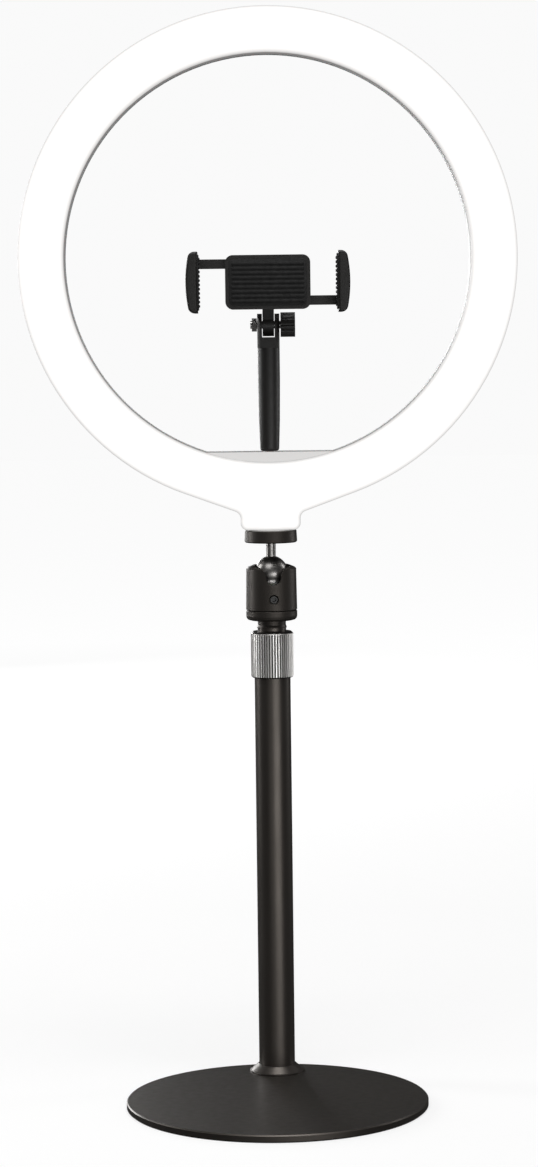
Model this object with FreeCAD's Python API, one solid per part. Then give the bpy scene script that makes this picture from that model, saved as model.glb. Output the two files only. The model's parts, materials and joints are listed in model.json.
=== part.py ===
import FreeCAD, Part

import math
import os

from FreeCAD import Vector as V

# A ring light on a telescopic table stand, with a ball head and a phone holder inside the ring.
# Millimetres, +Z up, the light faces -Y, +X is to the right for someone who stands in front of it.
# The origin is the centre of the base's underside.

# ---- driving dimensions ----
BASE_R = 77.5
PAD_T = 0.8
PLATE_TOP = 4.0
POLE_Y = 61.5                      # the pole stands near the back of the base

TUBE_R, TUBE_WALL = 9.5, 1.0
TUBE_TOP = 216.0                   # hidden inside the lock collar
MAST_R, MAST_WALL = 7.5, 1.0
MAST_TOP = 241.0
RUN = 0.06                         # radial clearance of a running fit
COLLAR_Z0, COLLAR_Z1 = 214.8, 239.1
COLLAR_R = 11.2
COLLAR_RIDGES = 48
THREAD_NECK_R = 9.2                # the collar's thread on the ferrule
FERRULE_Z0, BUSH_Z0 = 196.0, 217.6

HEAD_TURN = 5.6                    # the ball head's notch points this many degrees to the right
PAN_Z = 250.2                      # seam between the pan base and the housing
HOUSING_R0, HOUSING_R1 = 13.45, 13.05
HOUSING_TOP = 273.0
HOUSING_BORE = 10.95
BALL_Z, BALL_R = 270.2, 8.75
BALL_RIM_Z = 274.5
NOTCH_W, NOTCH_Z, NOTCH_BEND = 8.0, 264.0, 5.2
SET_SCREW_R, SET_SCREW_Z = 2.2, 256.6
STEM_R = 2.525
PLATFORM_Z0, PLATFORM_Z1, PLATFORM_R = 286.1, 292.5, 13.85
THREAD_R = 3.175                   # 1/4 inch screw

RING_Z = 434.5
RING_R, HOLE_R = 130.0, 106.0
RING_DEPTH = 24.0
RING_Y0 = POLE_Y - RING_DEPTH / 2
RING_Y1 = POLE_Y + RING_DEPTH / 2
SEAM_Y = RING_Y0 + 14.0            # the diffuser in front, the rear cover behind
SHELL = 1.8
CHORD_Z = 333.8                    # the flat at the bottom of the hole
NECK_W, NECK_Z = 31.3, 293.0
NECK_CORNER = 3.6
NECK_FILLET = 4.0
SKIRT = math.radians(20)           # the slope at which the ring runs down into its neck
SHELF_Y = RING_Y0 + 4.0            # in front of this the hole is a full circle, with no flat

BOSS_COUNT, BOSS_AT = 8, 124.5
LED_ROWS, LEDS_PER_ROW = (112.0, 117.5), 60
BOARD_R0, BOARD_R1 = 108.6, 120.8
BUTTON_X, BUTTON_Z = 8.8, (306.9, 315.3)
BUTTON_R = 3.2
USB_Z = 311.1

STALK_Z0 = CHORD_Z + 0.3
TILT_Z = 400.0
CLIP_Z = 422.0
CLIP_W, CLIP_H = 44.0, 28.0
FACE_Y, PLATE_Y0, PLATE_Y1, CLIP_BACK = 37.0, 38.0, 41.0, 50.0
CLIP_WALL = 1.6
JAW_IN, JAW_OUT, JAW_HALF = 35.0, 42.3, 15.8
JAW_Y0, JAW_Y1 = 27.0, 46.0
JAW_BULGE_R, JAW_CORNER_R = 70.0, 3.6
ARM_Y0, ARM_Y1 = 42.0, 45.0
ARM_END = 12.0
PINION_R, PINION_TEETH = 6.0, 12
ADDENDUM, DEDENDUM, BACKLASH = 0.8, 1.1, 0.2
PRESSURE = math.radians(20)


# ---- building blocks ----
def cylinder(r, z0, z1, x=0.0, y=POLE_Y):
    return Part.makeCylinder(r, z1 - z0, V(x, y, z0))


def cylinder_y(r, y0, y1, x, z):
    return Part.makeCylinder(r, y1 - y0, V(x, y0, z), V(0, 1, 0))


def cylinder_x(r, x0, x1, y, z):
    return Part.makeCylinder(r, x1 - x0, V(x0, y, z), V(1, 0, 0))


def block(x0, x1, y0, y1, z0, z1):
    return Part.makeBox(x1 - x0, y1 - y0, z1 - z0, V(x0, y0, z0))


def turned(points, x=0.0, y=POLE_Y):
    """A solid of revolution about a vertical axis, from (radius, height) points."""
    corners = [V(x + r, y, z) for r, z in points]
    face = Part.Face(Part.makePolygon(corners + corners[:1]))
    return face.revolve(V(x, y, 0), V(0, 0, 1), 360)


def tube(r_in, r_out, z0, z1):
    return turned([(r_in, z0), (r_out, z0), (r_out, z1), (r_in, z1)])


def sphere(r):
    return Part.makeSphere(r, V(0, POLE_Y, BALL_Z))


def half_turn(shape):
    """Rotated by 180 degrees about the clip's own axis."""
    other = shape.copy()
    other.rotate(V(0, 0, CLIP_Z), V(0, 1, 0), 180)
    return other


def with_head(shape):
    """Turned about the pole, from facing straight ahead to the ball head's own direction."""
    shape.rotate(V(0, POLE_Y, 0), V(0, 0, 1), HEAD_TURN)
    return shape


def fluted(shape, centre, axis, at, groove_r, count):
    """Cuts evenly spaced round grooves, parallel to axis, into the outside of a knob."""
    radial = V(0, 0, 1) if abs(axis.z) < 0.5 else V(1, 0, 0)
    cutters = []
    for n in range(count):
        turn = FreeCAD.Rotation(axis, 360.0 * n / count)
        start = centre + turn.multVec(radial * at) - axis * 50
        cutters.append(Part.makeCylinder(groove_r, 100, start, axis))
    return shape.cut(cutters)


def edges_at_y(shape, y):
    return [e for e in shape.Edges if max(abs(e.BoundBox.YMin - y), abs(e.BoundBox.YMax - y)) < 1e-4]


def save(name, *pieces):
    shape = pieces[0] if len(pieces) == 1 else Part.makeCompound(list(pieces))
    shape.exportStep(os.path.join("parts", name + ".step"))


# ---- outlines of the ring, in planes parallel to XZ ----
def arc_xz(x, z, r, start, end, y):
    """Arc about (x, z) from the start angle to the end angle, in radians, seen from the front."""
    spots = [start, (start + end) / 2, end]
    return Part.Arc(*[V(x + r * math.cos(a), y, z + r * math.sin(a)) for a in spots]).toShape()


def line(a, b):
    return Part.LineSegment(a, b).toShape()


def ring_outline(inset, y):
    """The outer edge of the ring and its neck, moved inwards by inset."""
    radius, half = RING_R - inset, NECK_W / 2 - inset
    fillet, corner = NECK_FILLET + inset, NECK_CORNER - inset
    bottom = NECK_Z + inset
    slope, rise = math.sin(SKIRT), math.cos(SKIRT)
    fillet_x = half + fillet
    fillet_z = RING_Z - (radius + fillet - slope * fillet_x) / rise
    foot = V(fillet_x - fillet * slope, y, fillet_z + fillet * rise)
    leave = V(radius * slope, y, RING_Z - radius * rise)
    right = [
        arc_xz(half - corner, bottom + corner, corner, -math.pi / 2, 0, y),
        line(V(half, y, bottom + corner), V(half, y, fillet_z)),
        arc_xz(fillet_x, fillet_z, fillet, math.pi, math.pi / 2 + SKIRT, y),
        line(foot, leave),
        arc_xz(0, RING_Z, radius, SKIRT - math.pi / 2, math.pi / 2, y),
    ]
    left = [edge.mirror(V(0, 0, 0), V(1, 0, 0)) for edge in right]
    under = line(V(corner - half, y, bottom), V(half - corner, y, bottom))
    return Part.Wire(Part.__sortEdges__(right + left + [under]))


def hole_outline(inset, y):
    """The edge of the ring's hole, a circle with a flat at its bottom, moved outwards by inset."""
    radius, drop = HOLE_R + inset, RING_Z - CHORD_Z + inset
    half = math.sqrt(radius ** 2 - drop ** 2)
    start = math.atan2(-drop, half)
    edges = [
        arc_xz(0, RING_Z, radius, start, math.pi / 2, y),
        arc_xz(0, RING_Z, radius, math.pi / 2, math.pi - start, y),
        line(V(-half, y, RING_Z - drop), V(half, y, RING_Z - drop)),
    ]
    return Part.Wire(Part.__sortEdges__(edges))


def ring_slab(inset, y0, y1):
    """The ring and its neck as a slab between two planes."""
    outer = Part.Face(ring_outline(inset, y0)).extrude(V(0, y1 - y0, 0))
    hole = Part.Face(hole_outline(inset, y0)).extrude(V(0, y1 - y0, 0))
    return outer.cut(hole)


def around_ring(radius, count, offset=0.5):
    """Evenly spaced (x, z, angle) places on a circle about the ring's centre."""
    spots = []
    for n in range(count):
        angle = 2 * math.pi * (n + offset) / count
        spots.append((radius * math.cos(angle), RING_Z + radius * math.sin(angle), angle))
    return spots


# ---- stand ----
def base_plate():
    disc = turned([(0, PAD_T), (BASE_R, PAD_T), (BASE_R, PLATE_TOP - 0.6),
                   (BASE_R - 0.6, PLATE_TOP), (0, PLATE_TOP)], y=0.0)
    sink = turned([(0, PAD_T), (6.1, PAD_T), (3.1, PAD_T + 3.0), (3.1, PLATE_TOP), (0, PLATE_TOP)])
    return disc.cut(sink)


def anti_slip_pad():
    return cylinder(BASE_R - 1.0, 0, PAD_T, y=0.0)


def base_bolt():
    return turned([(0, PAD_T), (6.0, PAD_T), (3.0, PAD_T + 3.0), (3.0, 24.0), (0, 24.0)])


def foot_plug():
    return tube(3.05, TUBE_R - TUBE_WALL - 0.05, PLATE_TOP, 26.0)


def foot_collar():
    return turned([(TUBE_R + 0.05, PLATE_TOP), (14.5, PLATE_TOP), (14.5, 4.7), (13.7, 4.9),
                   (10.4, 7.9), (10.0, 8.1), (TUBE_R + 0.05, 8.1)])


def outer_tube():
    return tube(TUBE_R - TUBE_WALL, TUBE_R, PLATE_TOP, TUBE_TOP)


def tube_ferrule():
    """Pressed into the top of the outer tube, with the collar's thread above the tube."""
    bore = MAST_R + RUN
    return turned([(bore, FERRULE_Z0), (8.45, FERRULE_Z0), (8.45, TUBE_TOP), (THREAD_NECK_R, TUBE_TOP),
                   (THREAD_NECK_R, 228.0), (8.55, 228.0), (8.55, BUSH_Z0), (bore, BUSH_Z0)])


def split_bush():
    """The slit bush that the collar squeezes onto the mast."""
    bore, top = MAST_R + RUN, 236.0
    bush = turned([(bore, BUSH_Z0), (8.5, BUSH_Z0), (8.5, 230.0), (8.8, 230.4), (8.0, top), (bore, top)])
    return bush.cut(block(0, 12, POLE_Y - 0.6, POLE_Y + 0.6, BUSH_Z0 + 2, top + 1))


def lock_collar():
    """Wide enough at its foot to go over the tube, threaded above that, with a cone for the bush."""
    thread = THREAD_NECK_R + 0.1
    shell = turned([(TUBE_R + 0.4, COLLAR_Z0), (COLLAR_R - 0.7, COLLAR_Z0), (COLLAR_R, COLLAR_Z0 + 0.8),
                    (COLLAR_R, COLLAR_Z1 - 1.0), (COLLAR_R - 1.0, COLLAR_Z1), (MAST_R + 0.4, COLLAR_Z1),
                    (MAST_R + 0.4, 236.6), (8.5, 236.6), (thread, 230.6), (thread, TUBE_TOP + 0.4),
                    (TUBE_R + 0.4, TUBE_TOP + 0.4)])
    ridges = []
    for n in range(COLLAR_RIDGES):
        angle = 2 * math.pi * n / COLLAR_RIDGES
        x, y = (COLLAR_R + 0.15) * math.cos(angle), (COLLAR_R + 0.15) * math.sin(angle)
        ridges.append(cylinder(0.5, COLLAR_Z0 - 1, COLLAR_Z1 - 1.2, x, POLE_Y + y))
    return shell.cut(ridges)


# ---- mast ----
def inner_tube():
    return tube(MAST_R - MAST_WALL, MAST_R, 30.0, MAST_TOP)


def tube_guide():
    """The nylon guide at the mast's lower end, which slides in the outer tube."""
    return turned([(0, 26.4), (TUBE_R - TUBE_WALL - RUN, 26.4), (TUBE_R - TUBE_WALL - RUN, 36.0),
                   (MAST_R, 36.0), (MAST_R, 30.0), (MAST_R - MAST_WALL, 30.0),
                   (MAST_R - MAST_WALL, 44.0), (0, 44.0)])


def mast_top_plug():
    return turned([(THREAD_R, 225.0), (MAST_R - MAST_WALL - 0.02, 225.0), (MAST_R - MAST_WALL - 0.02, MAST_TOP),
                   (7.8, MAST_TOP), (7.8, 241.5), (7.4, 242.6), (7.4, 245.0), (THREAD_R, 245.0)])


def head_stud():
    return cylinder(THREAD_R, 227.0, 256.0)


def pan_base():
    return turned([(THREAD_R, 245.0), (10.9, 245.0), (12.4, 245.4), (13.2, 246.2), (HOUSING_R0, 247.4),
                   (HOUSING_R0, PAN_Z - 0.3),
                   (HOUSING_R0 - 0.3, PAN_Z), (7.0, PAN_Z), (7.0, 253.8), (THREAD_R, 253.8)])


def pan_retainer():
    return tube(THREAD_R, 9.6, 253.8, 255.4)


# ---- ball head ----
def notch_form(y0, y1):
    """The notch's round bottom, straight sides and rounded mouth, as a prism along Y."""
    half, bend = NOTCH_W / 2, NOTCH_BEND
    low, mouth = NOTCH_Z + half, HOUSING_TOP + 0.4
    edges = [arc_xz(0, low, half, math.pi, 2 * math.pi, y0),
             line(V(half, y0, low), V(half, y0, mouth - bend)),
             arc_xz(half + bend, mouth - bend, bend, math.pi, math.pi / 2, y0),
             line(V(half + bend, y0, mouth), V(half + bend, y0, 300)),
             line(V(half + bend, y0, 300), V(-half - bend, y0, 300)),
             line(V(-half - bend, y0, 300), V(-half - bend, y0, mouth)),
             arc_xz(-half - bend, mouth - bend, bend, 0, math.pi / 2, y0),
             line(V(-half, y0, mouth - bend), V(-half, y0, low))]
    return Part.Face(Part.Wire(Part.__sortEdges__(edges))).extrude(V(0, y1 - y0, 0))


def ball_housing():
    lower = PAN_Z + 0.3
    body = turned([(0, lower), (HOUSING_R0 - 0.3, lower), (HOUSING_R0, lower + 0.3),
                   (HOUSING_R1 + 0.1, HOUSING_TOP - 0.7), (HOUSING_R1 - 0.8, HOUSING_TOP + 0.1),
                   (9.6, 274.2), (8.4, BALL_RIM_Z), (0, BALL_RIM_Z)])
    bore = cylinder(HOUSING_BORE, lower - 1, 268.6)
    notch = notch_form(POLE_Y - 30, POLE_Y)
    screw_hole = cylinder_y(SET_SCREW_R + 0.05, POLE_Y - 20, POLE_Y, 0, SET_SCREW_Z)
    screw_mouth = Part.makeCone(SET_SCREW_R + 0.65, SET_SCREW_R, 0.9, V(0, POLE_Y - 13.5, SET_SCREW_Z), V(0, 1, 0))
    stud_hole = cylinder_y(2.3, POLE_Y, POLE_Y + 20, 0, 266.0)
    return with_head(body.cut([bore, sphere(BALL_R + RUN), notch, screw_hole, screw_mouth, stud_hole]))


def pan_cap():
    """The ring that closes the housing from below and turns on the pan base's spigot."""
    return tube(7.0 + RUN, HOUSING_BORE - 0.05, PAN_Z + 0.3, 253.5)


def seat_carrier():
    plug = tube(1.5, HOUSING_BORE - 0.05, 257.0, 263.0)
    holes = [sphere(10.9), cylinder_y(SET_SCREW_R + 0.05, POLE_Y - 20, POLE_Y - 8.9, 0, SET_SCREW_Z)]
    return with_head(plug.cut(holes))


def housing_set_screw():
    screw = cylinder_y(SET_SCREW_R, POLE_Y - 12.8, POLE_Y - 9.8, 0, SET_SCREW_Z)
    screw = screw.makeChamfer(0.35, edges_at_y(screw, POLE_Y - 12.8))
    socket = [V(1.25 * math.cos(a), POLE_Y - 14, SET_SCREW_Z + 1.25 * math.sin(a))
              for a in [math.pi / 3 * n for n in range(6)]]
    hexagon = Part.Face(Part.makePolygon(socket + socket[:1])).extrude(V(0, 2.8, 0))
    return with_head(screw.cut(hexagon))


def brake_shoe():
    shoe = cylinder_y(2.2, POLE_Y + 6.5, POLE_Y + 10.6, 0, 266.0)
    return with_head(shoe.cut(sphere(BALL_R + 0.15)))


def ball_lock_knob():
    knob = cylinder_y(6.5, POLE_Y + 14.0, POLE_Y + 22.0, 0, 266.0)
    knob = knob.makeChamfer(0.6, edges_at_y(knob, POLE_Y + 22.0))
    knob = fluted(knob, V(0, POLE_Y, 266.0), V(0, 1, 0), 7.6, 1.6, 12)
    return with_head(knob.cut(cylinder_y(2.0, POLE_Y + 10, POLE_Y + 19, 0, 266.0)))


def knob_stud():
    return with_head(cylinder_y(2.0, POLE_Y + 10.9, POLE_Y + 19.0, 0, 266.0))


def ball_seat():
    """A cup under the ball, 45 degrees to each side of its lowest point."""
    shell = sphere(10.6).cut(sphere(BALL_R + RUN))
    height = 12.0
    cone = Part.makeCone(0, height, height, V(0, POLE_Y, BALL_Z), V(0, 0, -1))
    return shell.common(cone)


# ---- light ----
def ball_stem():
    ball = sphere(BALL_R)
    neck = turned([(0, BALL_Z), (STEM_R, BALL_Z), (STEM_R, PLATFORM_Z0), (THREAD_R, PLATFORM_Z0),
                   (THREAD_R, 300.5), (0, 300.5)])
    return ball.fuse(neck).removeSplitter()


def platform_disc():
    return turned([(THREAD_R + 0.02, PLATFORM_Z0), (13.3, PLATFORM_Z0), (PLATFORM_R, PLATFORM_Z0 + 0.6),
                   (PLATFORM_R - 0.3, PLATFORM_Z1 - 0.3), (PLATFORM_R - 0.6, PLATFORM_Z1),
                   (THREAD_R + 0.02, PLATFORM_Z1)])


def platform_pad():
    return tube(THREAD_R + 0.02, 12.8, PLATFORM_Z1, NECK_Z)


def ring_body():
    """The whole outer form of the light, rounded at the front and the back."""
    body = ring_slab(0, RING_Y0, RING_Y1).cut(cylinder_y(HOLE_R, RING_Y0 - 1, SHELF_Y, 0, RING_Z))
    body = body.makeFillet(3.5, edges_at_y(body, RING_Y0))
    return body.makeFillet(2.0, edges_at_y(body, RING_Y1))


def ring_cavity():
    recess = cylinder_y(HOLE_R + SHELL, RING_Y0, SHELF_Y + SHELL, 0, RING_Z)
    return ring_slab(SHELL, RING_Y0 + SHELL, RING_Y1 - SHELL).cut(recess)


def screw_bores():
    """Vertical holes for the quarter-inch screws under the neck and in the flat of the hole."""
    return [cylinder(THREAD_R + RUN, NECK_Z - 1, NECK_Z + 4), cylinder(THREAD_R + RUN, CHORD_Z - 4, CHORD_Z + 1)]


def diffuser(body, cavity):
    front = body.common(block(-150, 150, 0, SEAM_Y, 250, 600)).cut([cavity] + screw_bores())
    posts = [cylinder_y(2.8, RING_Y0 + 1, SEAM_Y, x, z) for x, z, _ in around_ring(BOSS_AT, BOSS_COUNT)]
    pilots = [cylinder_y(1.35, RING_Y0 + 4, SEAM_Y, x, z) for x, z, _ in around_ring(BOSS_AT, BOSS_COUNT)]
    return front.fuse(posts).cut(pilots)


def rear_cover(body, cavity):
    rear = body.common(block(-150, 150, SEAM_Y, 200, 250, 600)).cut([cavity] + screw_bores())
    gap = ring_slab(0, SEAM_Y, SEAM_Y + 0.5).cut(ring_slab(0.4, SEAM_Y, SEAM_Y + 0.5))
    inner = RING_Y1 - SHELL
    rib = cylinder_y(115.0, SEAM_Y - 0.3, inner, 0, RING_Z).cut(
        cylinder_y(113.5, SEAM_Y - 1, inner + 1, 0, RING_Z))
    step = cylinder_y(119.0, RING_Y1 - 0.6, RING_Y1 + 1, 0, RING_Z).cut(
        cylinder_y(110.0, RING_Y1 - 1, RING_Y1 + 2, 0, RING_Z))
    posts = [cylinder_y(3.4, SEAM_Y, inner + 0.5, x, z) for x, z, _ in around_ring(BOSS_AT, BOSS_COUNT)]
    wells = [cylinder_y(2.6, 65.5, RING_Y1 + 1, x, z) for x, z, _ in around_ring(BOSS_AT, BOSS_COUNT)]
    wells += [cylinder_y(1.45, SEAM_Y - 1, 66, x, z) for x, z, _ in around_ring(BOSS_AT, BOSS_COUNT)]
    holes = [cylinder_y(BUTTON_R + 0.3, inner - 1, RING_Y1 + 1, x, z) for x, z in button_places()]
    holes.append(usb_form(0.25, inner - 1, RING_Y1 + 1))
    return rear.cut([gap, step]).fuse([rib] + posts).cut(wells + holes)


def led_board():
    return cylinder_y(BOARD_R1, 62.0, 63.2, 0, RING_Z).cut(cylinder_y(BOARD_R0, 61, 64, 0, RING_Z))


def leds():
    chips = []
    for radius in LED_ROWS:
        for _, _, angle in around_ring(radius, LEDS_PER_ROW):
            chip = block(radius - 1.4, radius + 1.4, 61.2, 62.0, -1.75, 1.75)
            chip.rotate(V(0, 0, 0), V(0, 1, 0), -math.degrees(angle))
            chip.translate(V(0, 0, RING_Z))
            chips.append(chip)
    return chips


def button_places():
    return [(x, z) for z in BUTTON_Z for x in (-BUTTON_X, BUTTON_X)]


def usb_form(grow, y0, y1):
    """A slot-shaped prism, 9 wide and 3.2 high, about the socket's axis."""
    half, r = 4.5 - 1.6, 1.6 + grow
    ends = [cylinder_y(r, y0, y1, x, USB_Z) for x in (-half, half)]
    return ends[0].fuse([ends[1], block(-half, half, y0, y1, USB_Z - r, USB_Z + r)]).removeSplitter()


def driver_board():
    return block(-13, 13, 66.0, 67.2, 302.6, 319.2)


def driver_parts():
    chip = block(-3.2, 3.2, 64.9, 66.0, 305.2, 309.4)
    inductor = cylinder_y(2.6, 63.2, 66.0, 8.2, 308.0)
    capacitors = [block(-11.5, -8.5, 64.4, 66.0, z, z + 1.8) for z in (304.4, 307.4, 310.4)]
    return [chip, inductor] + capacitors


def board_pins():
    return [cylinder_y(0.6, 63.2, 66.0, x, 316.5) for x in (-4.0, 4.0)]


def tact_switches():
    switches = []
    for x, z in button_places():
        case = block(x - 2.25, x + 2.25, 67.2, 68.8, z - 2.25, z + 2.25)
        switches.append(case.fuse(cylinder_y(1.2, 68.8, 69.1, x, z)))
    return switches


def usb_socket():
    shell = usb_form(0, 67.2, RING_Y1 - 0.2).cut(usb_form(-0.35, 68.4, RING_Y1))
    tongue = block(-3.2, 3.2, 68.4, RING_Y1 - 1.4, USB_Z - 0.35, USB_Z + 0.35)
    return shell.fuse(tongue)


def cover_screws():
    screws = []
    for x, z, _ in around_ring(BOSS_AT, BOSS_COUNT):
        head = cylinder_y(2.4, 65.5, 67.3, x, z)
        slot = block(x - 1.4, x + 1.4, 66.7, 68, z - 0.3, z + 0.3)
        cross = block(x - 0.3, x + 0.3, 66.7, 68, z - 1.4, z + 1.4)
        screws.append(head.cut([slot, cross]).fuse(cylinder_y(1.3, 55.0, 65.6, x, z)))
    return screws


def bottom_insert():
    z = NECK_Z + SHELL
    return turned([(THREAD_R + 0.02, z), (6.0, z), (6.0, z + 1.6), (4.4, z + 1.6), (4.4, 301.6),
                   (THREAD_R + 0.02, 301.6)])


def top_insert():
    z = CHORD_Z - SHELL
    return turned([(THREAD_R + RUN, 326.6), (4.4, 326.6), (4.4, z - 1.8), (6.0, z - 1.8), (6.0, z),
                   (THREAD_R + RUN, z)])


def button(x, z):
    cap = cylinder_y(BUTTON_R, 70.2, RING_Y1 + 0.9, x, z)
    cap = cap.makeFillet(0.4, edges_at_y(cap, RING_Y1 + 0.9))
    return cap.fuse(cylinder_y(BUTTON_R + 0.7, 70.2, 71.2, x, z))


# ---- phone holder ----
def stalk():
    column = turned([(0, STALK_Z0), (3.9, STALK_Z0), (4.7, STALK_Z0 + 0.4), (5.0, STALK_Z0 + 1.2),
                     (5.5, 350.0), (5.8, 372.0), (5.8, 393.0), (0, 393.0)])
    ears = cylinder_x(5.8, -5.8, 5.8, POLE_Y, TILT_Z).fuse(block(-5.8, 5.8, POLE_Y - 5.8, POLE_Y + 5.8, 388, TILT_Z))
    ears = ears.common(cylinder(7.2, 380, 420))
    slot = block(-3.3, 3.3, POLE_Y - 10, POLE_Y + 10, TILT_Z - 6.5, 420)
    bores = [cylinder_x(2.0 + RUN, -10, 10, POLE_Y, TILT_Z), cylinder(THREAD_R + 0.02, STALK_Z0 - 1, 346.5)]
    return column.fuse(ears).cut([slot] + bores)


def stalk_stud():
    return cylinder(THREAD_R, 327.0, 346.0)


def tilt_nut():
    corners = [V(-8.6, POLE_Y + 4.0 * math.cos(a), TILT_Z + 4.0 * math.sin(a))
               for a in [math.pi / 3 * n for n in range(6)]]
    nut = Part.Face(Part.makePolygon(corners + corners[:1])).extrude(V(2.6, 0, 0))
    return nut.cut(cylinder_x(2.0 + RUN, -10, -5, POLE_Y, TILT_Z))


def tilt_bolt():
    return cylinder_x(2.0, -9.4, 12.0, POLE_Y, TILT_Z)


def tilt_knob():
    knob = cylinder_x(6.5, 6.4, 14.0, POLE_Y, TILT_Z).cut(cylinder_x(2.0, 0, 12.0, POLE_Y, TILT_Z))
    return fluted(knob, V(0, POLE_Y, TILT_Z), V(1, 0, 0), 7.6, 1.6, 12)


def tilt_knuckle():
    hub = cylinder_y(8.0, CLIP_BACK + 0.4, 57.0, 0, CLIP_Z)
    tongue = cylinder_x(6.0, -3.0, 3.0, POLE_Y, TILT_Z)
    side = [V(-3, 50.6, 419), V(-3, 57, 424), V(-3, 65.5, 404), V(-3, 64, 400), V(-3, 58, 397)]
    web = Part.Face(Part.makePolygon(side + side[:1])).extrude(V(6, 0, 0))
    holes = [cylinder_x(2.0 + RUN, -5, 5, POLE_Y, TILT_Z), cylinder_y(2.5, 49, 56, 0, CLIP_Z)]
    return hub.fuse([tongue, web]).cut(holes)


def swivel_screw():
    return cylinder_y(4.0, 45.8, 48.1, 0, CLIP_Z).fuse(cylinder_y(2.5, 48.1, 56.0, 0, CLIP_Z))


def clip_form(inset, y0, y1):
    """A block with rounded corners, seen from the front, about the clip's centre."""
    w, h = CLIP_W / 2 - inset, CLIP_H / 2 - inset
    form = block(-w, w, y0, y1, CLIP_Z - h, CLIP_Z + h)
    upright = [e for e in form.Edges if e.BoundBox.YLength > 1e-3 and e.BoundBox.XLength < 1e-3
               and e.BoundBox.ZLength < 1e-3]
    return form.makeFillet(4.0 - inset, upright)


def clip_screw_places():
    return [(-17.0, CLIP_Z), (17.0, CLIP_Z)]


def clip_front_plate():
    plate = clip_form(0, PLATE_Y0, PLATE_Y1).fuse(cylinder_y(1.8 - RUN, PLATE_Y1, 45.4, 0, CLIP_Z))
    return plate.cut([cylinder_y(0.9, 39.0, 42, x, z) for x, z in clip_screw_places()])


def clip_face_pad():
    return clip_form(2.0, FACE_Y, PLATE_Y0)


def clip_rear_cover():
    cover = clip_form(0, PLATE_Y1, CLIP_BACK)
    cover = cover.makeFillet(1.4, edges_at_y(cover, CLIP_BACK))
    hollow = clip_form(CLIP_WALL, PLATE_Y1, CLIP_BACK - CLIP_WALL)
    posts = [cylinder_y(2.2, PLATE_Y1, CLIP_BACK - 1, x, z) for x, z in clip_screw_places()]
    slot = block(-23, -17.5, ARM_Y0 - 0.4, ARM_Y1 + 0.4, CLIP_Z + 4.8, CLIP_Z + 12.4)
    wells = [cylinder_y(1.9, 47.4, CLIP_BACK + 1, x, z) for x, z in clip_screw_places()]
    wells += [cylinder_y(1.05, PLATE_Y1 - 1, 48, x, z) for x, z in clip_screw_places()]
    axle = cylinder_y(2.5 + RUN, 45, CLIP_BACK + 1, 0, CLIP_Z)
    return cover.cut(hollow).fuse(posts).cut(wells + [slot, half_turn(slot), axle])


def clip_screws():
    return [cylinder_y(0.88, 39.2, 47.5, x, z).fuse(cylinder_y(1.8, 47.4, 48.7, x, z))
            for x, z in clip_screw_places()]


def rack_brakes():
    """Two spring strips on the front plate, which press on the racks and hold the jaws where they are put."""
    strip = block(-14, 8, PLATE_Y1, PLATE_Y1 + 0.4, CLIP_Z + 8.4, CLIP_Z + 10.6)
    bump = block(-5, -2, PLATE_Y1, PLATE_Y1 + 0.7, CLIP_Z + 8.4, CLIP_Z + 10.6)
    brake = strip.fuse(bump).removeSplitter()
    return [brake, half_turn(brake)]


def rack_teeth():
    """Teeth under the upper arm. A gap is over the pinion's centre."""
    pitch = 2 * math.pi * PINION_R / PINION_TEETH
    half = (pitch / 2 - BACKLASH) / 2
    tip, root = half - ADDENDUM * math.tan(PRESSURE), half + DEDENDUM * math.tan(PRESSURE)
    z_pitch = CLIP_Z + PINION_R
    teeth = []
    for n in range(-6, 4):
        x = (n + 0.5) * pitch
        if x + root > ARM_END:
            continue
        outline = [V(x - root, ARM_Y0, z_pitch + DEDENDUM + 0.1), V(x - tip, ARM_Y0, z_pitch - ADDENDUM),
                   V(x + tip, ARM_Y0, z_pitch - ADDENDUM), V(x + root, ARM_Y0, z_pitch + DEDENDUM + 0.1)]
        teeth.append(Part.Face(Part.makePolygon(outline + outline[:1])).extrude(V(0, ARM_Y1 - ARM_Y0, 0)))
    return teeth


def grip_outline(x_in, y):
    """The grip from the front: straight inside, rounded corners, a bulged outer side."""
    half, bend = JAW_HALF, JAW_CORNER_R
    bulge_x = JAW_BULGE_R - JAW_OUT
    rise = half - bend
    corner_x = bulge_x - math.sqrt((JAW_BULGE_R - bend) ** 2 - rise ** 2)
    lean = math.atan2(rise, bulge_x - corner_x)
    edges = [
        line(V(x_in, y, CLIP_Z - half), V(x_in, y, CLIP_Z + half)),
        line(V(x_in, y, CLIP_Z + half), V(corner_x, y, CLIP_Z + half)),
        arc_xz(corner_x, CLIP_Z + rise, bend, math.pi / 2, math.pi - lean, y),
        arc_xz(bulge_x, CLIP_Z, JAW_BULGE_R, math.pi - lean, math.pi + lean, y),
        arc_xz(corner_x, CLIP_Z - rise, bend, math.pi + lean, 3 * math.pi / 2, y),
        line(V(corner_x, y, CLIP_Z - half), V(x_in, y, CLIP_Z - half)),
    ]
    return Part.Wire(Part.__sortEdges__(edges))


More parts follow.
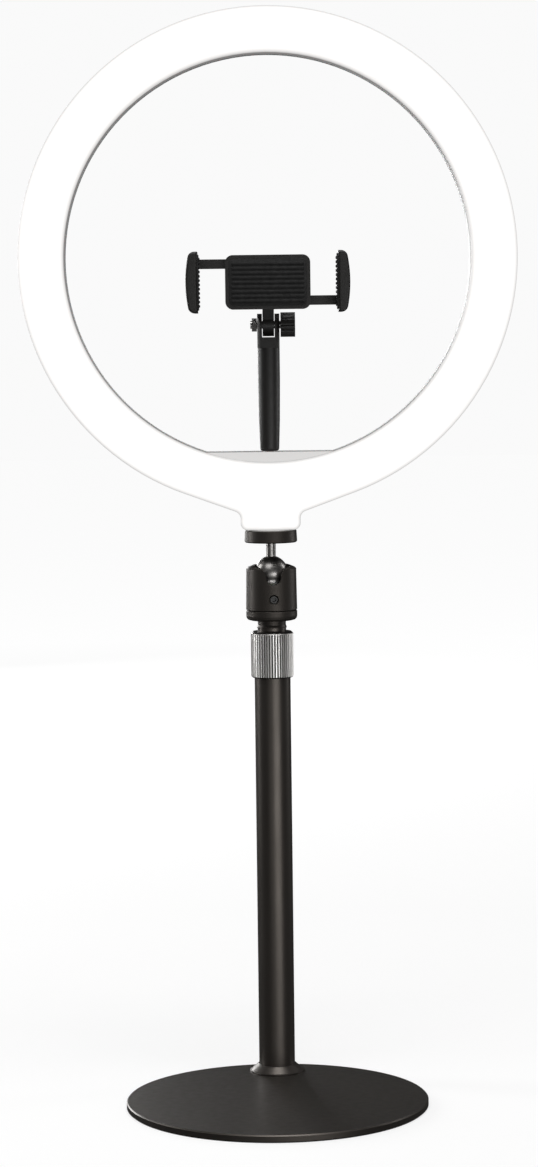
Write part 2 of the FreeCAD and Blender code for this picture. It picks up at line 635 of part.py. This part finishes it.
def left_jaw():
    """The grip and the arm with the rack, in one moulding."""
    pad_face = -JAW_IN - 1.2
    grip = Part.Face(grip_outline(pad_face, JAW_Y0)).extrude(V(0, JAW_Y1 - JAW_Y0, 0))
    grip = grip.makeFillet(1.2, edges_at_y(grip, JAW_Y0))
    root, top = CLIP_Z + PINION_R + DEDENDUM, CLIP_Z + 12.0
    side = [V(pad_face - 2, ARM_Y0, root), V(ARM_END, ARM_Y0, root), V(ARM_END, ARM_Y0, top - 2.4),
            V(ARM_END - 2.4, ARM_Y0, top), V(pad_face - 2, ARM_Y0, top)]
    arm = Part.Face(Part.makePolygon(side + side[:1])).extrude(V(0, ARM_Y1 - ARM_Y0, 0))
    return grip.fuse([arm] + rack_teeth()).removeSplitter()


def left_jaw_pad():
    return block(-JAW_IN - 1.2, -JAW_IN, JAW_Y0 + 1, 41.0, CLIP_Z - JAW_HALF + 1.5, CLIP_Z + JAW_HALF - 1.5)


def pinion():
    """Involute teeth, one of them pointing straight up."""
    base = PINION_R * math.cos(PRESSURE)
    at_pitch = (math.pi / PINION_TEETH) / 2 - BACKLASH / 2 / PINION_R
    involute = lambda a: math.tan(a) - a
    tip, root = PINION_R + ADDENDUM, PINION_R - DEDENDUM
    flank = [(root, at_pitch + involute(PRESSURE) + 0.02)]
    for n in range(5):
        r = base + (tip - base) * n / 4
        flank.append((r, at_pitch + involute(PRESSURE) - involute(math.acos(min(1.0, base / r)))))
    spots = []
    for n in range(PINION_TEETH):
        middle = math.pi / 2 + 2 * math.pi * n / PINION_TEETH
        spots += [(r, middle - half) for r, half in flank]
        spots += [(r, middle + half) for r, half in reversed(flank)]
    corners = [V(r * math.cos(a), ARM_Y0, CLIP_Z + r * math.sin(a)) for r, a in spots]
    gear = Part.Face(Part.makePolygon(corners + corners[:1])).extrude(V(0, ARM_Y1 - ARM_Y0, 0))
    return gear.cut(cylinder_y(1.8, 40, 50, 0, CLIP_Z))


def main():
    os.makedirs("parts", exist_ok=True)
    for make in (base_plate, anti_slip_pad, base_bolt, foot_plug, foot_collar, outer_tube, tube_ferrule,
                 split_bush, lock_collar, inner_tube, tube_guide, mast_top_plug, head_stud, pan_base,
                 pan_retainer, ball_housing, pan_cap, seat_carrier, housing_set_screw, brake_shoe,
                 ball_lock_knob, knob_stud, ball_seat, ball_stem, platform_disc, platform_pad, led_board,
                 driver_board, usb_socket, bottom_insert, top_insert, stalk, stalk_stud, tilt_nut, tilt_bolt,
                 tilt_knob, tilt_knuckle, swivel_screw, clip_front_plate, clip_face_pad, clip_rear_cover,
                 left_jaw, left_jaw_pad, pinion):
        save(make.__name__, make())
    for make in (leds, driver_parts, board_pins, tact_switches, cover_screws, clip_screws, rack_brakes):
        save(make.__name__, *make())
    body, cavity = ring_body(), ring_cavity()
    save("diffuser", diffuser(body, cavity))
    save("rear_cover", rear_cover(body, cavity))
    save("right_jaw", half_turn(left_jaw()))
    save("right_jaw_pad", half_turn(left_jaw_pad()))
    names = ("power_button", "mode_button", "minus_button", "plus_button")
    for name, (x, z) in zip(names, button_places()):
        save(name, button(x, z))


main()
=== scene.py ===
import json
import math

import bmesh
import bpy
from mathutils import Matrix, Vector


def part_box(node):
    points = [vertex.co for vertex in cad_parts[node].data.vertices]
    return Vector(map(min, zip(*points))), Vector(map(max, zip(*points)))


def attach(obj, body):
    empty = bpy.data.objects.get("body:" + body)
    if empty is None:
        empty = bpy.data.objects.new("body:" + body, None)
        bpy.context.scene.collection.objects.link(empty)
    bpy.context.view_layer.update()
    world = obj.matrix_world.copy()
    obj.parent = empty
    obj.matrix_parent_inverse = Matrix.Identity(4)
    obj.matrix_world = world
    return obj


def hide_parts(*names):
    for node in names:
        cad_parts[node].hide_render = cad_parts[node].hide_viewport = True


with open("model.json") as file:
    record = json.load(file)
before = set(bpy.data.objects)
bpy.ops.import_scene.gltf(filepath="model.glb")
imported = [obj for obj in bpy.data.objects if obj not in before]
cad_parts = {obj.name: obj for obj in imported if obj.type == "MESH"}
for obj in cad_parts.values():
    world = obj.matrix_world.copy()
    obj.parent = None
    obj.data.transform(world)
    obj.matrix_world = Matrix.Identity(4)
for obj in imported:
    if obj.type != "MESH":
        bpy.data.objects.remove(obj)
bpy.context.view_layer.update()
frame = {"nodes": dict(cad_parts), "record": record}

# A ring light on a table stand. Metres, +Z up, lit side towards -Y.

MM = 0.001
NODES = frame["nodes"]
POLE_Y = sum((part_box("outer_tube")[0].y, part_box("outer_tube")[1].y)) / 2
POLE_NODES = ("outer_tube", "inner_tube")
RING_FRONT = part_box("diffuser")[0].y
COLLAR_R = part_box("lock_collar")[1].x


# ---- materials ----
class Paint:
    """A Principled material with small helpers for its procedural detail."""

    def __init__(self, name, colour, roughness=0.5, metallic=0.0, **sockets):
        self.material = bpy.data.materials.new(name)
        self.material.use_nodes = True
        self.tree = self.material.node_tree
        self.shader = self.tree.nodes["Principled BSDF"]
        self.shader.inputs["Base Color"].default_value = (*colour, 1.0)
        self.shader.inputs["Roughness"].default_value = roughness
        self.shader.inputs["Metallic"].default_value = metallic
        for socket, value in sockets.items():
            self.shader.inputs[socket.replace("_", " ")].default_value = value
        self.coordinates = self.node("ShaderNodeTexCoord").outputs["Object"]

    def node(self, kind, **settings):
        made = self.tree.nodes.new(kind)
        for key, value in settings.items():
            setattr(made, key, value)
        return made

    def link(self, source, target):
        self.tree.links.new(source, target)

    def noise(self, scale, detail=3.0, stretch=None):
        """Noise with that many cells per metre, optionally stretched along the axes."""
        made = self.node("ShaderNodeTexNoise")
        made.inputs["Scale"].default_value = scale
        made.inputs["Detail"].default_value = detail
        place = self.coordinates
        if stretch:
            mapping = self.node("ShaderNodeMapping")
            mapping.inputs["Scale"].default_value = stretch
            self.link(self.coordinates, mapping.inputs["Vector"])
            place = mapping.outputs["Vector"]
        self.link(place, made.inputs["Vector"])
        return made.outputs["Fac"]

    def remap(self, value, low, high, to_low, to_high):
        made = self.node("ShaderNodeMapRange")
        numbers = {"From Min": low, "From Max": high, "To Min": to_low, "To Max": to_high}
        for socket, number in numbers.items():
            made.inputs[socket].default_value = number
        self.link(value, made.inputs["Value"])
        return made.outputs["Result"]

    def split(self, vector):
        """The X, Y and Z of a vector."""
        made = self.node("ShaderNodeSeparateXYZ")
        self.link(vector, made.inputs["Vector"])
        return made.outputs

    def maths(self, operation, first, second=None):
        made = self.node("ShaderNodeMath", operation=operation)
        for socket, value in zip(made.inputs, (first, second)):
            if isinstance(value, (int, float)):
                socket.default_value = value
            elif value is not None:
                self.link(value, socket)
        return made.outputs["Value"]

    def radius_from_pole(self):
        """Distance from the pole's axis, in metres."""
        place = self.split(self.coordinates)
        x, y = place["X"], self.maths("SUBTRACT", place["Y"], POLE_Y)
        square = self.maths("ADD", self.maths("MULTIPLY", x, x), self.maths("MULTIPLY", y, y))
        return self.maths("SQRT", square)

    def vary_colour(self, value, dark, light):
        mix = self.node("ShaderNodeMix", data_type="RGBA")
        mix.inputs["A"].default_value = (*dark, 1.0)
        mix.inputs["B"].default_value = (*light, 1.0)
        self.link(value, mix.inputs["Factor"])
        self.link(mix.outputs["Result"], self.shader.inputs["Base Color"])

    def vary_roughness(self, noise, low, high):
        """Roughness between low and high over the middle range of a noise."""
        self.link(self.remap(noise, 0.3, 0.7, low, high), self.shader.inputs["Roughness"])

    def bump(self, noise, distance, strength):
        """Relief of that many metres, weakened by strength. Returns the finished material."""
        made = self.node("ShaderNodeBump")
        made.inputs["Distance"].default_value = distance
        made.inputs["Strength"].default_value = strength
        self.link(noise, made.inputs["Height"])
        self.link(made.outputs["Normal"], self.shader.inputs["Normal"])
        return self.material


WARM_GLOSS = (1.0, 0.9, 0.81, 1.0)                  # the blacks reflect slightly brown


def powder_coat():
    paint = Paint("powder_coat", (0.016, 0.0142, 0.0126), 0.38,
                  Specular_IOR_Level=0.65, Specular_Tint=WARM_GLOSS)
    paint.vary_colour(paint.noise(60), dark=(0.015, 0.0133, 0.0118), light=(0.0175, 0.0155, 0.0138))
    paint.vary_roughness(paint.noise(260), 0.35, 0.4)
    return paint.bump(paint.noise(2600, detail=2.0), distance=0.03 * MM, strength=0.2)


def pole_enamel():
    paint = Paint("pole_enamel", (0.0185, 0.0165, 0.0148), 0.36,
                  Specular_IOR_Level=0.85, Specular_Tint=WARM_GLOSS)
    paint.vary_roughness(paint.noise(220, stretch=(1, 1, 0.15)), 0.34, 0.39)
    return paint.bump(paint.noise(1400, detail=2.0), distance=0.03 * MM, strength=0.25)


def anodised():
    paint = Paint("anodised_black", (0.021, 0.0188, 0.0168), 0.44, Specular_Tint=WARM_GLOSS)
    paint.vary_roughness(paint.noise(900), 0.39, 0.46)
    return paint.bump(paint.noise(6000, detail=1.0), distance=0.02 * MM, strength=0.3)


# painted shade: the grooves are coloured near black where shade falls between the ridges; the crests keep
# the metal's own colour
GROOVE_SHADE, CREST_BRIGHT = (0.03, 0.027, 0.025), (0.78, 0.77, 0.75)
SHADE_BELOW, BRIGHT_ABOVE = COLLAR_R - 0.31 * MM, COLLAR_R - 0.17 * MM


def ridges_with_painted_shade():
    """Bright crests with painted shade in the grooves, told apart by their distance from the axis."""
    paint = Paint("ridged_metal", (0.62, 0.61, 0.59), 0.36, metallic=0.86)
    crest = paint.remap(paint.radius_from_pole(), SHADE_BELOW, BRIGHT_ABOVE, 0.0, 1.0)
    paint.vary_colour(crest, dark=GROOVE_SHADE, light=CREST_BRIGHT)
    paint.vary_roughness(paint.noise(700, detail=2.0, stretch=(1, 1, 0.1)), 0.32, 0.4)
    brushed = paint.noise(3000, detail=2.0, stretch=(1, 1, 0.06))
    return paint.bump(brushed, distance=0.01 * MM, strength=0.3)


def plated_steel():
    paint = Paint("plated_steel", (0.6, 0.6, 0.59), 0.28, metallic=1.0)
    paint.vary_roughness(paint.noise(1800), 0.25, 0.32)
    return paint.bump(paint.noise(9000, detail=2.0), distance=0.004 * MM, strength=0.2)


def turned(name, colour, roughness, scale):
    """A lathe-turned metal, with fine rings around the axis."""
    paint = Paint(name, colour, roughness, metallic=1.0)
    rings = paint.noise(scale, detail=2.0, stretch=(0.1, 0.1, 4))
    return paint.bump(rings, distance=0.03 * MM, strength=0.4)


def black_screw():
    paint = Paint("black_oxide", (0.03, 0.03, 0.03), 0.35, metallic=0.6)
    return paint.bump(paint.noise(5000), distance=0.02 * MM, strength=0.4)


def dark_chrome():
    paint = Paint("dark_chrome", (0.31, 0.3, 0.29), 0.34, metallic=1.0)
    paint.vary_roughness(paint.noise(300), 0.32, 0.36)
    return paint.material


def rubber():
    paint = Paint("black_rubber", (0.012, 0.012, 0.012), 0.8)
    paint.vary_roughness(paint.noise(400), 0.7, 0.9)
    return paint.bump(paint.noise(3500, detail=4.0), distance=0.05 * MM, strength=0.6)


def black_plastic():
    paint = Paint("black_plastic", (0.0135, 0.0125, 0.0115), 0.44)
    paint.vary_roughness(paint.noise(500), 0.4, 0.5)
    return paint.bump(paint.noise(4200), distance=0.05 * MM, strength=0.45)


def white_plastic():
    paint = Paint("white_plastic", (0.82, 0.82, 0.81), 0.42, Subsurface_Weight=0.08)
    paint.vary_colour(paint.noise(40), dark=(0.81, 0.81, 0.8), light=(0.85, 0.85, 0.84))
    paint.vary_roughness(paint.noise(600), 0.38, 0.48)
    return paint.bump(paint.noise(3800), distance=0.04 * MM, strength=0.4)


def plain(name, colour, roughness, scale, distance, strength, detail=3.0, **sockets):
    """One colour with a fine relief."""
    paint = Paint(name, colour, roughness, **sockets)
    return paint.bump(paint.noise(scale, detail), distance, strength)


EDGE_GLOW, FACE_GLOW = 0.3, 1.03                    # where the surface turns away, where it faces front
LIP_END, FLAT_START = RING_FRONT + 3.2 * MM, RING_FRONT + 3.9 * MM
FLAT_DIM = 0.6                                      # the flat behind the lip is this much dimmer


def opal():
    """Opal acrylic lit from behind: full on its face, dimmer on its rolled edge and its set-back flat."""
    paint = Paint("opal_diffuser", (0.12, 0.12, 0.119), 0.5,
                  Subsurface_Weight=0.1, Specular_IOR_Level=0.2)
    normal = paint.split(paint.node("ShaderNodeTexCoord").outputs["Normal"])
    towards_front = paint.maths("MULTIPLY", normal["Y"], -1.0)
    facing = paint.remap(towards_front, 0.0, 0.95, EDGE_GLOW, FACE_GLOW)
    depth = paint.remap(paint.split(paint.coordinates)["Y"], LIP_END, FLAT_START, 1.0, FLAT_DIM)
    paint.link(paint.maths("MULTIPLY", facing, depth), paint.shader.inputs["Emission Strength"])
    paint.shader.inputs["Emission Color"].default_value = (1.0, 0.995, 0.985, 1.0)
    return paint.bump(paint.noise(5000), distance=0.02 * MM, strength=0.25)


FINISHES = {
    "powder_black": powder_coat(),
    "anodised_black": anodised(),
    "knurled_metal": ridges_with_painted_shade(),
    "zinc_steel": plated_steel(),
    "black_screw": black_screw(),
    "raw_aluminium": turned("turned_aluminium", (0.75, 0.75, 0.76), 0.3, 1500),
    "dark_chrome": dark_chrome(),
    "brass": turned("turned_brass", (0.72, 0.52, 0.22), 0.27, 1800),
    "rubber": rubber(),
    "pale_pad": plain("pale_pad", (0.75, 0.75, 0.73), 0.7, 4000, 0.04 * MM, 0.5),
    "nylon": plain("natural_nylon", (0.72, 0.7, 0.64), 0.45, 2500, 0.03 * MM, 0.3, Subsurface_Weight=0.15),
    "black_plastic": black_plastic(),
    "opal": opal(),
    "white_plastic": white_plastic(),
    "button_grey": plain("button_plastic", (0.4, 0.41, 0.42), 0.4, 4200, 0.03 * MM, 0.4),
    "board_white": plain("white_board", (0.8, 0.8, 0.78), 0.35, 2500, 0.03 * MM, 0.3, 4.0),
    "board_green": plain("green_board", (0.02, 0.16, 0.06), 0.35, 2500, 0.03 * MM, 0.3, 4.0),
    "led_yellow": plain("led_phosphor", (0.9, 0.75, 0.25), 0.4, 6000, 0.02 * MM, 0.3),
    "chip_black": plain("moulded_chip", (0.02, 0.02, 0.02), 0.5, 7000, 0.02 * MM, 0.4),
}
POLE_FINISH = pole_enamel()


def finish_nodes():
    for entry in frame["record"]["subparts"]:
        finish = POLE_FINISH if entry["node"] in POLE_NODES else FINISHES[entry["material_slot"]]
        for slot in NODES[entry["node"]].material_slots:
            slot.material = finish


# ---- pieces with finer shapes than the solids they stand for, or than the solids they sit on ----
CREASE = math.radians(35)


def piece_from(shape, name, body, slot, replaced=()):
    """Turns a bmesh into a smooth-shaded piece that rides on a body and has a slot's finish."""
    bmesh.ops.recalc_face_normals(shape, faces=shape.faces)
    mesh = bpy.data.meshes.new(name)
    shape.to_mesh(mesh)
    shape.free()
    mesh.materials.append(FINISHES[slot])
    made = bpy.data.objects.new(name, mesh)
    bpy.context.scene.collection.objects.link(made)
    mesh.shade_smooth()
    mesh.set_sharp_from_angle(angle=CREASE)
    if replaced:
        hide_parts(*replaced)
    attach(made, body)


def inset_outline(outline, distance):
    """An anticlockwise outline moved inwards, by the normals at its points."""
    if not distance:
        return outline
    moved = []
    for n, (a, b) in enumerate(outline):
        before, after = Vector(outline[n - 1]), Vector(outline[(n + 1) % len(outline)])
        here = Vector((a, b))
        first, second = (here - before).normalized(), (after - here).normalized()
        normal = Vector((-first.y - second.y, first.x + second.x)).normalized()
        corner = max(0.5, normal.dot(Vector((-first.y, first.x))))
        moved.append(tuple(here + normal * (distance / corner)))
    return moved


def prism(shape, outline, place, depth, soften=0.0):
    """An outline of (a, b) points, carried into space by place(a, b, level), with an eased top edge."""
    rings = [(0.0, 0.0), (depth - soften, 0.0)]
    if soften:
        rings += [(depth - 0.3 * soften, 0.3 * soften), (depth, soften)]
    loops = []
    for level, inset in rings:
        loops.append([shape.verts.new(place(a, b, level)) for a, b in inset_outline(outline, inset)])
    for lower, upper in zip(loops, loops[1:]):
        for n in range(len(outline)):
            following = (n + 1) % len(outline)
            shape.faces.new((lower[n], lower[following], upper[following], upper[n]))
    shape.faces.new(loops[0][::-1])
    shape.faces.new(loops[-1])


def rounded_box(low_a, high_a, low_b, high_b, radius, steps=5):
    """An anticlockwise rectangle with rounded corners."""
    corners = [(high_a - radius, high_b - radius, 0), (low_a + radius, high_b - radius, 90),
               (low_a + radius, low_b + radius, 180), (high_a - radius, low_b + radius, 270)]
    points = []
    for a, b, start in corners:
        for step in range(steps + 1):
            angle = math.radians(start + 90 * step / steps)
            points.append((a + radius * math.cos(angle), b + radius * math.sin(angle)))
    return points


X, Y = 0, 1
SHEET_PART, SHEET_EDGE = 0.55, 0.15 * MM            # the pad's flat sheet, as a part of its thickness
RIB_FOOT, RIB_PART, RIB_EDGE = 0.5, 0.5, 0.22 * MM  # a rib starts inside the sheet and reaches the front
RIB_HALF, RIB_CORNER = 0.3, 0.28                    # as parts of the pitch
RIB_MARGIN, RIB_END = 1.6 * MM, 1.2 * MM            # from the pad's edge to the row and to each rib's end


def ribbed_pad(node, body, thin, outward, corner, along, pitch):
    """A soft pad, thin along one axis, with a row of ribs that run along another on its gripping face."""
    low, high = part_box(node)
    across = [axis for axis in range(3) if axis != thin]
    thickness = high[thin] - low[thin]
    back = low[thin] if outward > 0 else high[thin]

    def on_sheet(a, b, level):
        spot = [0.0, 0.0, 0.0]
        spot[across[0]], spot[across[1]], spot[thin] = a, b, back + outward * level
        return Vector(spot)

    def on_rib(a, b, level):
        return on_sheet(a, b, thickness * RIB_FOOT + level)

    shape = bmesh.new()
    spans = [(low[axis], high[axis]) for axis in across]
    prism(shape, rounded_box(*spans[0], *spans[1], corner), on_sheet, thickness * SHEET_PART, SHEET_EDGE)
    row = 1 - across.index(along)
    start, stop = spans[row][0] + RIB_MARGIN, spans[row][1] - RIB_MARGIN
    count = int((stop - start) / pitch) + 1
    first = (start + stop - (count - 1) * pitch) / 2
    for n in range(count):
        middle = first + n * pitch
        rib = [None, None]
        rib[row] = (middle - RIB_HALF * pitch, middle + RIB_HALF * pitch)
        rib[1 - row] = (spans[1 - row][0] + RIB_END, spans[1 - row][1] - RIB_END)
        outline = rounded_box(*rib[0], *rib[1], RIB_CORNER * pitch, steps=4)
        prism(shape, outline, on_rib, thickness * RIB_PART, RIB_EDGE)
    piece_from(shape, node + "_ribbed", body, "rubber", (node,))


def grip_pads():
    ribbed_pad("clip_face_pad", "clip", thin=Y, outward=-1, corner=2.6 * MM, along=X, pitch=2.4 * MM)
    ribbed_pad("left_jaw_pad", "left_jaw", thin=X, outward=1, corner=1.6 * MM, along=Y, pitch=2.2 * MM)
    ribbed_pad("right_jaw_pad", "right_jaw", thin=X, outward=-1, corner=1.6 * MM, along=Y, pitch=2.2 * MM)


ICON_RISE, ICON_SUNK = 0.14 * MM, 0.02 * MM         # above the button's face, and below it
ICON_LINE = 0.19                                    # half a stroke; the sizes of the signs are in mm
SIGN_REACH = 1.4


def bar(x0, x1, z0, z1):
    return rounded_box(x0 * MM, x1 * MM, z0 * MM, z1 * MM, 0.18 * MM, steps=3)


def turned_bar(angle, r0, r1, half):
    """A bar that points away from the middle at that angle."""
    direction = Vector((math.cos(angle), math.sin(angle)))
    side = Vector((-direction.y, direction.x))
    spots = [direction * r0 - side * half, direction * r1 - side * half,
             direction * r1 + side * half, direction * r0 + side * half]
    return [(spot.x * MM, spot.y * MM) for spot in spots]


def arc(radius, angles):
    return [(radius * math.cos(angle) * MM, radius * math.sin(angle) * MM) for angle in angles]


def arc_band(r0, r1, start, end, steps=20):
    angles = [math.radians(start + (end - start) * n / steps) for n in range(steps + 1)]
    return arc(r1, angles) + arc(r0, angles[::-1])


def disc(radius, steps=24):
    return arc(radius, [math.tau * n / steps for n in range(steps)])


def button_icons():
    """Raised plain signs: on and off, light colour, less and more."""
    rays = [turned_bar(math.radians(45 * n), 1.3, 1.85, 0.14) for n in range(8)]
    level_bar = bar(-SIGN_REACH, SIGN_REACH, -ICON_LINE, ICON_LINE)
    upper_bar = bar(-ICON_LINE, ICON_LINE, ICON_LINE, SIGN_REACH)
    lower_bar = bar(-ICON_LINE, ICON_LINE, -SIGN_REACH, -ICON_LINE)
    icons = {
        "power": [arc_band(1.15, 1.5, 125, 415), bar(-0.17, 0.17, 0.35, 1.75)],
        "mode": [disc(0.85)] + rays,
        "minus": [level_bar],
        "plus": [level_bar, upper_bar, lower_bar],
    }
    for name, outlines in icons.items():
        low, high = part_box(name + "_button")
        middle = (low + high) / 2

        def seen_from_behind(a, b, level):
            return Vector((middle.x - a, high.y - ICON_SUNK + level, middle.z + b))

        shape = bmesh.new()
        for outline in outlines:
            prism(shape, outline, seen_from_behind, ICON_RISE)
        piece_from(shape, name + "_icon", name + "_button", "white_plastic")


# ---- studio ----
CAMERA_AHEAD = 1.70                                 # from the pole's axis
CAMERA_HEIGHT = 0.4015
CAMERA_PITCH = math.radians(4.616)
CAMERA_ROLL = math.radians(-0.696)
CAMERA_X = -0.00126
SENSOR, LENS = 36, 99.95                            # millimetres


def camera():
    data = bpy.data.cameras.new("camera")
    data.sensor_width = SENSOR
    data.lens = LENS
    made = bpy.data.objects.new("camera", data)
    bpy.context.scene.collection.objects.link(made)
    made.matrix_world = (Matrix.Translation((CAMERA_X, POLE_Y - CAMERA_AHEAD, CAMERA_HEIGHT))
                         @ Matrix.Rotation(math.pi / 2 - CAMERA_PITCH, 4, "X")
                         @ Matrix.Rotation(CAMERA_ROLL, 4, "Z"))
    bpy.context.scene.camera = made


def softbox(name, azimuth, elevation, distance, size, watts, target):
    """A soft light. Azimuth 0 is in front of the lit side, and 90 is towards +X."""
    data = bpy.data.lights.new(name, "AREA")
    data.shape = "RECTANGLE"
    data.size, data.size_y = size
    data.energy = watts
    made = bpy.data.objects.new(name, data)
    bpy.context.scene.collection.objects.link(made)
    around, up = math.radians(azimuth), math.radians(elevation)
    away = Vector((math.sin(around) * math.cos(up), -math.cos(around) * math.cos(up), math.sin(up)))
    made.location = target + away * distance
    made.rotation_euler = (-away).to_track_quat("-Z", "Y").to_euler()


def stage_mesh(name, fill, paint):
    """A mesh that only the camera sees, so gloss and shadows come from the lights alone."""
    mesh = bpy.data.meshes.new(name)
    made = bpy.data.objects.new(name, mesh)
    bpy.context.scene.collection.objects.link(made)
    shape = bmesh.new()
    fill(shape)
    shape.to_mesh(mesh)
    shape.free()
    mesh.materials.append(paint.material)
    made.visible_glossy = False
    made.visible_diffuse = False
    made.visible_shadow = False


def white_glow(name, colour, roughness):
    paint = Paint(name, colour, roughness, Specular_IOR_Level=0.0)
    paint.shader.inputs["Emission Color"].default_value = (1, 1, 1, 1)
    return paint


FLOOR_ALBEDO, FLOOR_ROUGHNESS = 0.28, 0.95
FLOOR_GLOW, FLOOR_FAR, SURROUND_GLOW = 0.73, 0.945, 0.955
GLOW_FROM, GLOW_TO = 0.5, 2.4                       # the floor brightens between these radii
FLOOR_R, SURROUND_R = 8.0, 8.2


def backdrop():
    """A pale floor that brightens into a white surround."""
    floor = white_glow("studio_floor", (FLOOR_ALBEDO,) * 3, FLOOR_ROUGHNESS)
    brighter = floor.remap(floor.radius_from_pole(), GLOW_FROM, GLOW_TO, FLOOR_GLOW, FLOOR_FAR)
    floor.link(brighter, floor.shader.inputs["Emission Strength"])
    surround = white_glow("studio_surround", (0, 0, 0), 1.0)
    surround.shader.inputs["Emission Strength"].default_value = SURROUND_GLOW

    def fill_floor(shape):
        bmesh.ops.create_circle(shape, cap_ends=True, segments=128, radius=FLOOR_R)

    def fill_surround(shape):
        bmesh.ops.create_icosphere(shape, subdivisions=4, radius=SURROUND_R)

    stage_mesh("studio_floor", fill_floor, floor)
    stage_mesh("studio_surround", fill_surround, surround)


AMBIENT = 0.05


def studio():
    world = bpy.data.worlds.new("studio")
    bpy.context.scene.world = world
    world.use_nodes = True
    background = world.node_tree.nodes["Background"]
    background.inputs["Color"].default_value = (1, 1, 1, 1)
    background.inputs["Strength"].default_value = AMBIENT
    foot = Vector((0, 0, 0))
    middle = Vector((0, POLE_Y, 0.3))
    ring_level = middle + Vector((0, 0, 0.15))
    # The first two are low and partly below the floor, which casts no shadow.
    softbox("key", 24, 0, 1.6, (1.15, 0.24), 4.9, Vector((0, POLE_Y, -0.02)))
    softbox("low_front", 4, 0, 1.6, (2.0, 0.3), 2.2, Vector((0, POLE_Y, -0.05)))
    softbox("left_strip", -104, 8, 1.4, (0.3, 1.0), 8.5, ring_level)
    softbox("right_strip", 110, 8, 1.4, (0.3, 1.0), 3.6, ring_level)
    softbox("top", 25, 74, 1.8, (0.9, 0.9), 20, middle)
    softbox("front_fill", -25, 50, 2.0, (1.2, 1.2), 10, middle)
    softbox("rear_left", 208, 15, 2.0, (1.3, 0.5), 15, foot)
    bpy.context.scene.view_settings.view_transform = "Standard"


finish_nodes()
grip_pads()
button_icons()
camera()
backdrop()
studio()
